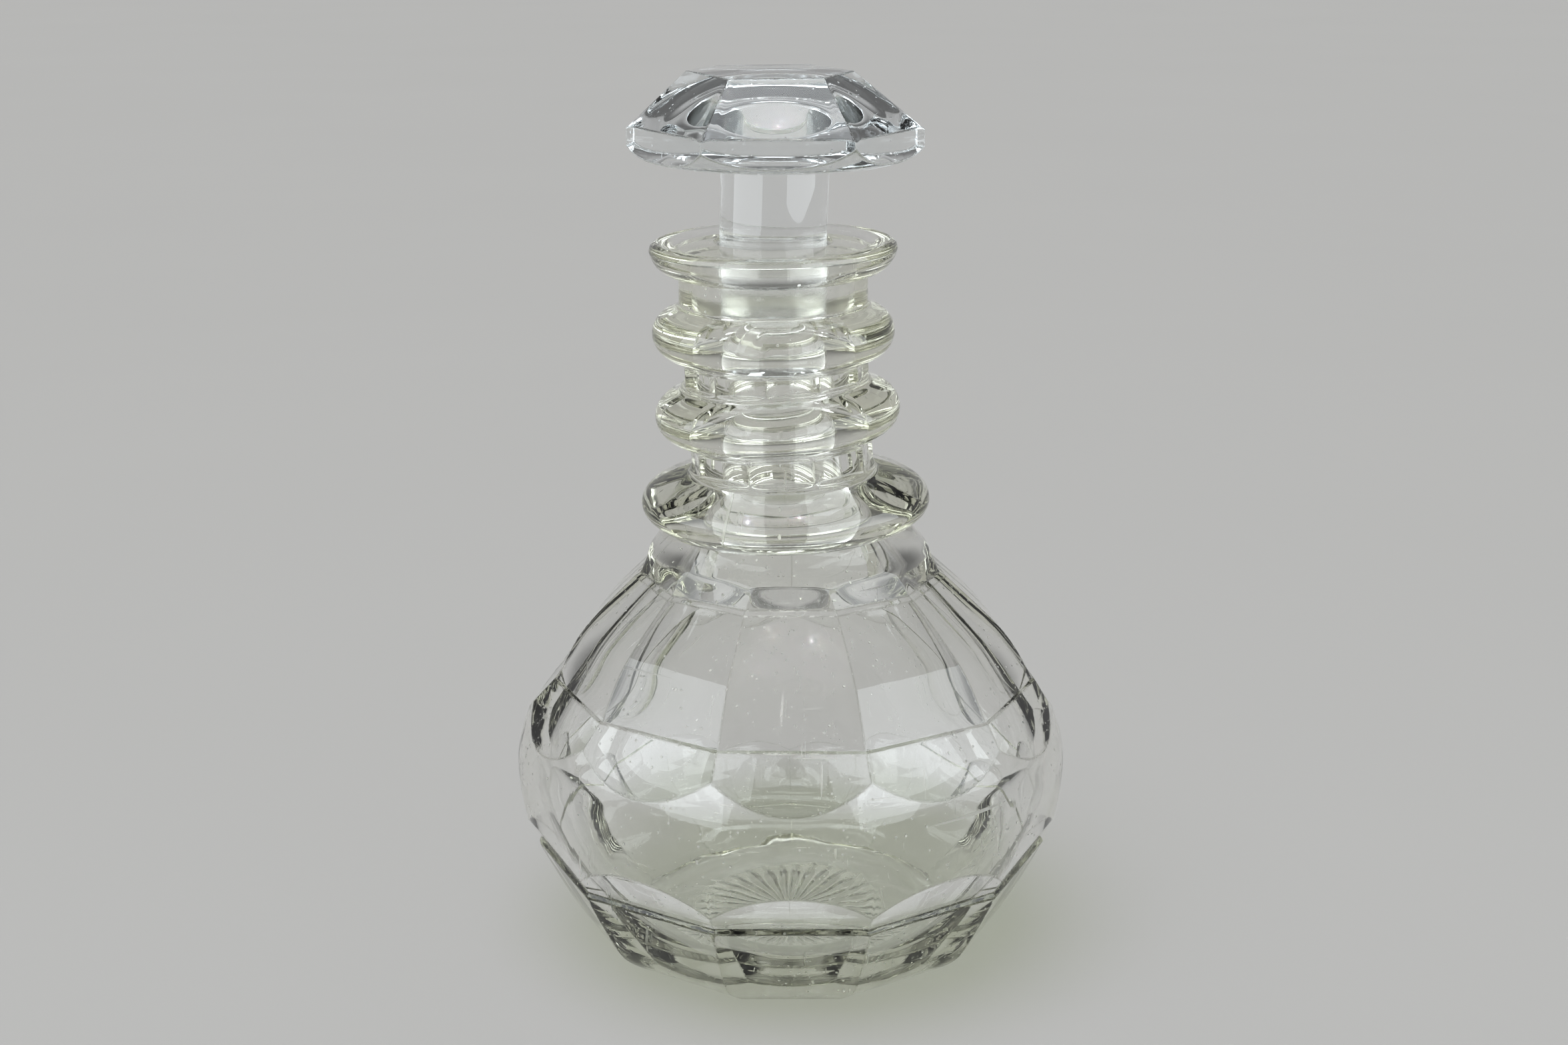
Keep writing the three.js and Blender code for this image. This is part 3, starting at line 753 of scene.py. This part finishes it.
def add_inside(skin, sizes):
    """The socket, the bore of the neck and the blown cavity, whose wall ripples a little."""
    soft = sizes.worn_edge
    slack = sizes.joint_gap
    seat = level_row([PLUG_RADIUS + slack, SOCKET_TOP])
    skin.span(level_row(MOUTH), seat, 2, MOUTH[1] - SOCKET_TOP, soft, crisp=True)
    end = level_row([PLUG_END_RADIUS + slack, SOCKET_END])
    taper = shares(8, SOCKET_TOP - SOCKET_END, soft, (True, False))
    skin.add(between(seat, end, taper), crisp=True, ground=1.0)
    bore = through([[PLUG_END_RADIUS + slack, SOCKET_END], BORE, BORE_FOOT], 14)
    skin.add([level_row(point) for point in bore])
    wall = lower_wall()
    # The upper wall's curve runs on into the lower wall, so that they meet smoothly, and is cut there
    upper = [
        BORE_FOOT,
        inset(COLLAR_SEAT, ROOT_WALL, PANEL_NORMAL),
        inset(SHOULDER, SHOULDER_WALL, PANEL_NORMAL),
        inset(RIDGE, PANEL_WALL, PANEL_NORMAL),
        wall[0],
        wall[12],
    ]
    parts = len(upper) - 1
    upper = through(upper, WALL_STEPS * parts + 1)[: WALL_STEPS * (parts - 1)]
    rows = np.stack([level_row(point) for point in np.concatenate([upper, wall])])
    below = ease(BORE_FOOT[1] - rows[:, 2], 0, RIPPLE_START)
    rows[:, 1] += wander(rows[:, 0], rows[:, 2]) * sizes.ripple * below
    skin.add(rows)
    skin.add(between(rows[-1], level_row([FLOOR_MIDDLE, FLOOR_HEIGHT]), np.linspace(0, 1, 12)))


def wander(angle, height):
    """A slow wave over the wall, near -1 to 1: a few sines of the angle and the height."""
    return sum(share * np.sin(turns * angle + up * height + start) for share, turns, up, start in WAVES)


def make_bottle_mesh(sizes):
    """The bottle's mesh, with its edges rounded and chipped, and marked for its finish."""
    skin = bottle_skin(sizes)
    edges = np.arange(PANELS) * COLUMNS_A_PANEL + COLUMNS_A_PANEL // 2
    points = soften(places(skin.rows()), skin, edges)
    for chipped in CHIPS:
        points = chip(points, *chipped)
    mesh = grid_mesh("bottle", points, poles=[[0, 0, STAR_DEPTH / 2], [0, 0, FLOOR_HEIGHT]])
    skin.mark(mesh, edges)
    return mesh


# The rings


def hermite(start, end, leave, arrive, count):
    """A cubic from start to end with given directions: its Hermite form, without the first point."""
    t = np.linspace(0, 1, count + 1)[1:, None, None]
    blend = (2 * t**3 - 3 * t**2 + 1) * start + (3 * t**2 - 2 * t**3) * end
    return blend + (t**3 - 2 * t**2 + t) * leave + (t**3 - t**2) * arrive


def make_ring_mesh(name, sizes):
    """A ring: round section outside, a fillet onto the neck at both ends, and a face along the neck."""
    bulge, middle, half, tilt = RINGS[name]
    width = bulge + NECK_RADIUS - RING_SEAT
    fillet = sizes.ring_fillet
    _, _, reach = ring_contacts(name, fillet)
    neck = contact_rows(name, fillet)
    neck[:, 1] += RING_GAP
    a = np.linspace(-reach[0], reach[1], 34)
    radius = (RING_SEAT + width * np.cos(a) ** RING_POWER)[:, None]
    height = middle + (half * np.sin(a))[:, None] + tilt * radius * np.sin(EVEN_ANGLES)[None]
    outer = row(EVEN_ANGLES, radius, height)
    up = np.zeros_like(outer[0])
    up[2] = FILLET_LIFT * fillet
    first, last = outer[1] - outer[0], outer[-1] - outer[-2]
    for direction in (first, last):
        direction *= FILLET_PULL * fillet / np.abs(direction[1:]).max()
    foot = hermite(neck[0], outer[0], up, first, 7)
    head = hermite(outer[-1], neck[-1], last, up, 7)
    rows = np.concatenate([foot, outer[1:], head, neck[-2::-1]])
    mesh = grid_mesh(name, places(rows), closed=True)
    fused = np.zeros(len(rows))
    fused[-len(neck) : -1] = 1
    mark(mesh, "fused", np.repeat(fused, COLUMNS), "FACE")
    return mesh


# The stopper


def side_row(corners, soft):
    """Points along a polygon: each corner, two points close to it each way, and even ones between."""
    share = shares(COLUMNS_A_SIDE - 4, 1.0, soft)[None, :-1, None]
    nearer, further = corners[:, None], np.roll(corners, -1, axis=0)[:, None]
    return (nearer + share * (further - nearer)).reshape(-1, 3)


def corner_places(lean, reach, top, top_reach):
    """Where each side meets the one before it and a top, which all have a normal and a distance."""
    sides = around(SIDE_TURNS, 1.0, lean)
    normals = np.stack([np.roll(sides, 1, axis=0), sides, np.broadcast_to(top, sides.shape)], axis=1)
    distances = np.stack([np.roll(reach, 1), reach, np.full(STOPPER_SIDES, top_reach)], axis=1)
    return np.linalg.solve(normals, distances[..., None])[..., 0]


def table_height(place):
    """Height of the leaning table over a place: middle height + lean x y + roll x x."""
    return TABLE_HEIGHT + TABLE_LEAN * place[..., 1] + TABLE_ROLL * place[..., 0]


def table_corners():
    """Corners of the table, where it meets each two facets next to each other."""
    rise = table_height(around(SIDE_TURNS, TABLE_APOTHEMS, 0.0)) - HEAD_RIM
    lean = (RIM_APOTHEMS - TABLE_APOTHEMS) / rise
    reach = RIM_APOTHEMS + lean * HEAD_RIM
    return corner_places(lean, reach, [-TABLE_ROLL, -TABLE_LEAN, 1.0], TABLE_HEIGHT)


def rim_row(soft):
    """The top edge of the side band, which dips where two sides meet, as the cutter rounded it."""
    corners = corner_places(0.0, RIM_APOTHEMS, [0.0, 0.0, 1.0], HEAD_RIM)
    rim = side_row(corners, soft)
    away = np.linalg.norm(rim[:, None] - corners[None], axis=-1).min(axis=1)
    rim[:, 2] -= CORNER_DIP * np.exp(-((away / CORNER_REACH) ** 2))
    return rim


def head_underside(place):
    """Height of the underside: lift x (distance from its middle / reach) to a power, dished at the stem."""
    away = np.hypot(place[..., 0], place[..., 1] - DOME_SHIFT) / (RIM_APOTHEMS[0] + DOME_SHIFT)
    from_axis = np.hypot(place[..., 0], place[..., 1])
    dish = (STEM_TOP - HEAD_UNDERSIDE) * (1 - ease(from_axis, PLUG_RADIUS + STEM_FILLET, DISH_REACH))
    return HEAD_UNDERSIDE + dish + (HEAD_RIM - HEAD_UNDERSIDE - FRONT_BAND) * away**DOME_POWER


def add_plug(skin, angles):
    """The plug: its flat end, its chamfer, its ground taper, its stem and the quarter round above."""
    end = PLUG_END_RADIUS - PLUG_CHAMFER
    low = around(angles, PLUG_END_RADIUS, PLUG_END + PLUG_CHAMFER)
    skin.add([*(around(angles, share * end, PLUG_END) for share in (0.1, 0.4, 0.7, 1.0)), low])
    high = around(angles, PLUG_RADIUS, SOCKET_TOP)
    skin.add(between(low, high, np.linspace(0, 1, 10)), ground=1.0)
    stem = around(angles, PLUG_RADIUS, STEM_TOP - STEM_FILLET)
    skin.add(between(high, stem, np.linspace(0, 1, 12)))
    a = np.linspace(0, math.pi / 2, 7)
    radius = PLUG_RADIUS + STEM_FILLET * (1 - np.cos(a))
    height = STEM_TOP - STEM_FILLET * (1 - np.sin(a))
    skin.add([around(angles, *point) for point in zip(radius, height)])


def add_head(skin, angles, rim, soft):
    """The head: its domed underside, the band of its six sides, its facets and its table."""
    start = skin.rows()[-1]
    reach = around(angles, np.hypot(rim[:, 0], rim[:, 1]), 0.0)
    dome = between(start, reach, shares(22, RIM_APOTHEMS[0] - PLUG_RADIUS, soft, (False, True)))
    dome[1:, :, 2] = head_underside(dome[1:])
    skin.add(dome)
    skin.span(dome[-1], rim, 4, FRONT_BAND, soft, cut=True)
    table = side_row(table_corners(), soft / RIM_APOTHEMS[0])
    slant = np.linalg.norm(rim[0] - table[0])
    skin.span(rim, table, 12, slant, soft, cut=True)
    middle = np.broadcast_to([0.0, 0.0, TABLE_HEIGHT], table.shape)
    skin.add(between(table, middle, shares(8, TABLE_APOTHEMS[0], soft, (True, False))[:-1]), crisp=True)


def make_stopper_mesh(sizes):
    """
    The stopper from the end of its plug up, under the dome, over the side band and onto the table. Each
    row moves right by HEAD_SHIFT * ease(height from the socket's top to the stem's top).
    """
    soft = sizes.worn_edge
    rim = rim_row(soft / RIM_APOTHEMS[0])
    angles = np.arctan2(rim[:, 0], -rim[:, 1])
    skin = Skin(STOPPER_COLUMNS)
    add_plug(skin, angles)
    add_head(skin, angles, rim, soft)
    edges = np.arange(STOPPER_SIDES) * COLUMNS_A_SIDE
    points = soften(skin.rows(), skin, edges)
    points[..., 0] += axis_x(TABLE_HEIGHT) + HEAD_SHIFT * ease(points[..., 2], SOCKET_TOP, STEM_TOP)
    x = axis_x(TABLE_HEIGHT)
    mesh = grid_mesh("stopper", points, poles=[[x, 0, PLUG_END], [x + HEAD_SHIFT, 0, TABLE_HEIGHT]])
    skin.mark(mesh, edges)
    return mesh


# Finishes


class Wire:
    """One socket of a finish, so that shader maths reads as an expression."""

    def __init__(self, finish, socket):
        self.finish = finish
        self.socket = socket

    def maths(self, operation, *values):
        return self.finish.node("ShaderNodeMath", dict(enumerate(values)), operation=operation)

    def __add__(self, other):
        return self.maths("ADD", self, other)

    __radd__ = __add__

    def __sub__(self, other):
        return self.maths("SUBTRACT", self, other)

    def __rsub__(self, other):
        return self.maths("SUBTRACT", other, self)

    def __mul__(self, other):
        return self.maths("MULTIPLY", self, other)

    __rmul__ = __mul__

    def above(self, level, width):
        """1 where the value is over a level, 0 under it, with a smooth step of a width between."""
        values = {"Value": self, "From Min": level, "From Max": level + width}
        return self.finish.node("ShaderNodeMapRange", values, interpolation_type="SMOOTHSTEP")


class Finish:
    """The nodes of a material, a lamp or the room."""

    def __init__(self, owner, kind="Material"):
        self.owner = owner
        self.kind = kind
        owner.use_nodes = True
        self.tree = owner.node_tree
        self.tree.nodes.clear()

    def node(self, kind, values=None, output=0, **settings):
        """Adds any node: its settings are set first, then the values or links of its sockets."""
        made = self.tree.nodes.new(kind)
        for name, value in settings.items():
            setattr(made, name, value)
        for name, value in (values or {}).items():
            socket = made.inputs[name]
            if isinstance(value, Wire):
                self.tree.links.new(value.socket, socket)
            else:
                socket.default_value = value
        return Wire(self, made.outputs[output])

    def done(self, surface, volume=None):
        """Joins the surface, and the inside if there is one, to the output and gives what owns them."""
        out = self.tree.nodes.new("ShaderNodeOutput" + self.kind)
        self.tree.links.new(surface.socket, out.inputs["Surface"])
        if volume:
            self.tree.links.new(volume.socket, out.inputs["Volume"])
        return self.owner

    def place(self):
        return self.node("ShaderNodeTexCoord", output="Object")

    def mark(self, name):
        return self.node("ShaderNodeAttribute", output="Fac", attribute_name=name)

    def mixed(self, share, first, second):
        """A colour part of the way from the first to the second. Sockets 6, 7 and 2 are its colours."""
        return self.node("ShaderNodeMix", {0: share, 6: first, 7: second}, 2, data_type="RGBA")

    def noise(self, place, scale, detail=2.0):
        return self.node("ShaderNodeTexNoise", {"Vector": place, "Scale": scale, "Detail": detail})


def scratches(finish, place):
    """Fine lines in three directions: the crests of noise that is drawn out along one axis."""
    total = 0.0
    for turn, scale in SCRATCH_RUNS:
        drawn = finish.node("ShaderNodeMapping", {"Vector": place, "Rotation": turn, "Scale": scale})
        total = total + finish.noise(drawn, 1.0, 1.0).above(0.71, 0.03)
    patches = finish.noise(place, 45.0).above(0.5, 0.15)
    return total * patches


def glass_finish(body, look):
    """
    The clear glass of a body, made once: tinted in its depth, scratched and speckled, and dulled on its
    edges and where it is ground. Its worn edges also get painted shade, a darker grey base colour.
    """
    name = f"old_{body}_glass"
    if name in bpy.data.materials:
        return bpy.data.materials[name]
    shadow, wave = GLASSES[body]
    tint, density = getattr(look, body + "_tint"), getattr(look, body + "_density")
    finish = Finish(bpy.data.materials.new(name))
    place = finish.place()
    edge_wear_and_shade, ground = finish.mark("edge_wear_and_shade"), finish.mark("ground")
    lines = scratches(finish, place)
    from_pit = finish.node("ShaderNodeTexVoronoi", {"Vector": place, "Scale": 420.0, "Randomness": 1.0})
    pits = (1 - from_pit.above(0.09, 0.06)) * finish.noise(place, 75.0).above(0.52, 0.05)
    nicks = finish.noise(place, 900.0).above(0.48, 0.12)
    wear_and_edge_shade = look.wear_and_edge_shade
    smeared = SMEAR_ROUGHNESS * wear_and_edge_shade * finish.noise(place, 28.0, 3.0).above(0.45, 0.3)
    roughness = look.polish + smeared + SCRATCH_ROUGHNESS * wear_and_edge_shade * lines + PIT_ROUGHNESS * wear_and_edge_shade * pits
    roughness = roughness + NICK_ROUGHNESS * wear_and_edge_shade * edge_wear_and_shade * nicks + GROUND_ROUGHNESS * ground
    waves = finish.noise(place, 55.0)
    fine = finish.noise(place, 2200.0, 3.0)
    relief = waves * wave - lines * SCRATCH_DEPTH - pits * PIT_DEPTH * wear_and_edge_shade
    relief = relief - edge_wear_and_shade * nicks * NICK_DEPTH * wear_and_edge_shade + ground * fine * GROUND_GRAIN
    normal = finish.node("ShaderNodeBump", {"Strength": 1.0, "Distance": 1.0, "Height": relief})
    glass = finish.node(
        "ShaderNodeBsdfPrincipled",
        {
            # Painted shade: the worn cut edges get a darker grey base colour
            "Base Color": finish.mixed(wear_and_edge_shade * edge_wear_and_shade, CLEAR, PAINTED_EDGE_SHADE),
            "Roughness": roughness,
            "IOR": 1.52,
            "Transmission Weight": 1.0,
            "Normal": normal,
        },
    )
    clear = finish.node("ShaderNodeBsdfTransparent", {"Color": (1, 1, 1, 1)})
    joined = finish.node("ShaderNodeMixShader", {0: finish.mark("fused"), 1: glass, 2: clear})
    thin = finish.node("ShaderNodeBsdfTransparent", {"Color": shadow})
    is_shadow = finish.node("ShaderNodeLightPath", output="Is Shadow Ray")
    surface = finish.node("ShaderNodeMixShader", {0: is_shadow, 1: joined, 2: thin})
    depth = finish.node("ShaderNodeVolumeAbsorption", {"Color": (*tint, 1), "Density": density})
    return finish.done(surface, depth)


def floor_finish(look):
    """Pale matt floor with a faint unevenness of tone and of surface."""
    finish = Finish(bpy.data.materials.new("pale_floor"))
    place = finish.place()
    tone = finish.noise(place, 3.0, 4.0)
    dark = tuple(0.97 * c for c in look.floor_colour) + (1,)
    colour = finish.mixed(tone, (*look.floor_colour, 1), dark)
    shader = finish.node("ShaderNodeBsdfPrincipled", {"Base Color": colour, "Roughness": 0.8})
    return finish.done(shader)


# Operators


class DECANTER_OT_bottle(bpy.types.Operator):
    """Builds the cut bottle, open from its mouth to its floor"""

    bl_idname = "decanter.bottle"
    bl_label = "Bottle"

    def execute(self, context):
        mesh = make_bottle_mesh(context.scene.decanter_sizes)
        material = glass_finish("bottle", context.scene.decanter_glass)
        finish_piece("cut_bottle", mesh, material, "bottle", "bottle_glass", "bottle")
        return {"FINISHED"}


class DECANTER_OT_rings(bpy.types.Operator):
    """Builds the three rings of glass round the neck"""

    bl_idname = "decanter.rings"
    bl_label = "Neck rings"

    def execute(self, context):
        material = glass_finish("bottle", context.scene.decanter_glass)
        for name in RINGS:
            mesh = make_ring_mesh(name, context.scene.decanter_sizes)
            finish_piece(name + "_glass", mesh, material, "bottle", "bottle_glass", name)
        return {"FINISHED"}


class DECANTER_OT_stopper(bpy.types.Operator):
    """Builds the stopper with its ground plug and its six-sided head"""

    bl_idname = "decanter.stopper"
    bl_label = "Stopper"

    def execute(self, context):
        mesh = make_stopper_mesh(context.scene.decanter_sizes)
        material = glass_finish("stopper", context.scene.decanter_glass)
        finish_piece("cut_stopper", mesh, material, "stopper", "stopper_glass", "stopper")
        return {"FINISHED"}


class DECANTER_OT_stage(bpy.types.Operator):
    """Lays the pale floor and sets the lamps, the room light and the camera"""

    bl_idname = "decanter.stage"
    bl_label = "Stage"

    def execute(self, context):
        look = context.scene.decanter_stage
        make_floor(look)
        make_lamps(look)
        context.scene.world = room(look)
        context.scene.camera = make_camera(look)
        context.scene.view_settings.view_transform = "Standard"
        allow_long_paths(context.scene.cycles)
        return {"FINISHED"}


def allow_long_paths(cycles):
    """Lets light pass through all the walls of the glass, which would turn black otherwise."""
    cycles.max_bounces = 24
    cycles.transmission_bounces = 24
    cycles.glossy_bounces = 8
    cycles.transparent_max_bounces = 24


def make_floor(look):
    """A flat square under the decanter, just below its foot."""
    mesh = bpy.data.meshes.new("floor")
    corners = np.array([[-1, -1, 0], [1, -1, 0], [1, 1, 0], [-1, 1, 0]]) * look.floor_side / 2
    mesh.from_pydata(corners - [0, 0, FLOOR_DROP], [], np.array([[0, 1, 2, 3]]))
    floor = add_object("floor", mesh)
    mesh.materials.append(floor_finish(look))


def lamp_glow(lamp):
    """A glow that shows in polished glass, and throws no bright patches through it on the floor."""
    finish = Finish(lamp, "Light")
    bounces = finish.node("ShaderNodeLightPath", output="Diffuse Depth")
    strength = 1 - bounces.maths("MINIMUM", bounces, 1.0)
    finish.done(finish.node("ShaderNodeEmission", {"Strength": strength}))


def make_soft_box(name, size, power, place, turn):
    """A soft box: an area lamp that only shows in glass, and leaves the floor as it is."""
    lamp = bpy.data.lights.new(name, "AREA")
    lamp.shape = "RECTANGLE"
    lamp.size, lamp.size_y = size
    lamp.energy = power
    lamp.color = SOFT_BOX_COLOUR
    lamp_glow(lamp)
    box = add_object(name, lamp, place, turn)
    box.visible_camera = False
    box.visible_diffuse = False


def make_lamps(look):
    """Two soft boxes beside the camera and one overhead, and a broad light from above."""
    size = (look.side_box_width, look.side_box_height)
    for side in (-1, 1):
        place = (side * SIDE_BOX_PLACE[0], SIDE_BOX_PLACE[1], SIDE_BOX_PLACE[2])
        turn = (math.pi / 2, 0, side * SIDE_BOX_TURN)
        make_soft_box("side_soft_box", size, look.side_box_power, place, turn)
    make_soft_box("top_soft_box", TOP_BOX_SIZE, look.top_box_power, TOP_BOX_PLACE, (0, 0, 0))
    lamp = bpy.data.lights.new("overhead", "SUN")
    lamp.energy = look.overhead_light
    lamp.angle = OVERHEAD_WIDTH
    lamp.cycles.use_multiple_importance_sampling = False
    lamp_glow(lamp)
    add_object("overhead", lamp, turn=OVERHEAD_TURN)


def room(look):
    """A plain room: pale at the height of the floor's end and darker overhead."""
    finish = Finish(bpy.data.worlds.new("room"), "World")
    direction = finish.node("ShaderNodeTexCoord", output="Generated")
    up = finish.node("ShaderNodeSeparateXYZ", {"Vector": direction}, output="Z")
    high = up.above(*ROOM_TURNS)
    shade = look.room_light + high * (look.room_top - look.room_light)
    return finish.done(finish.node("ShaderNodeBackground", {"Color": (1, 1, 1, 1), "Strength": shade}))


def make_camera(look):
    """The camera of the photograph."""
    data = bpy.data.cameras.new("camera")
    data.lens = look.lens
    data.sensor_width = 36.0
    return add_object("camera", data, CAMERA_PLACE, (CAMERA_PITCH, 0, 0))


class DECANTER_PT_panel(bpy.types.Panel):
    """Lists the sizes, the looks and the pieces of the decanter"""

    bl_idname = "DECANTER_PT_panel"
    bl_label = "Sherry decanter"
    bl_space_type = "VIEW_3D"
    bl_region_type = "UI"
    bl_category = "Decanter"

    def draw(self, context):
        for name in GROUPS:
            group = getattr(context.scene, name)
            box = self.layout.box()
            for size in group.__annotations__:
                box.prop(group, size)
        for operator in OPERATORS:
            self.layout.operator(operator.bl_idname)


GROUPS = {
    "decanter_sizes": DecanterSizes,
    "decanter_glass": GlassLook,
    "decanter_stage": StageLook,
}
OPERATORS = (DECANTER_OT_bottle, DECANTER_OT_rings, DECANTER_OT_stopper, DECANTER_OT_stage)


def register():
    for name, group in GROUPS.items():
        bpy.utils.register_class(group)
        setattr(bpy.types.Scene, name, PointerProperty(type=group))
    for made in (*OPERATORS, DECANTER_PT_panel):
        bpy.utils.register_class(made)


def unregister():
    for made in reversed((*OPERATORS, DECANTER_PT_panel)):
        bpy.utils.unregister_class(made)
    for name, group in GROUPS.items():
        delattr(bpy.types.Scene, name)
        bpy.utils.unregister_class(group)


def main():
    register()
    bpy.ops.decanter.bottle()
    bpy.ops.decanter.rings()
    bpy.ops.decanter.stopper()
    bpy.ops.decanter.stage()


if __name__ == "__main__":
    main()
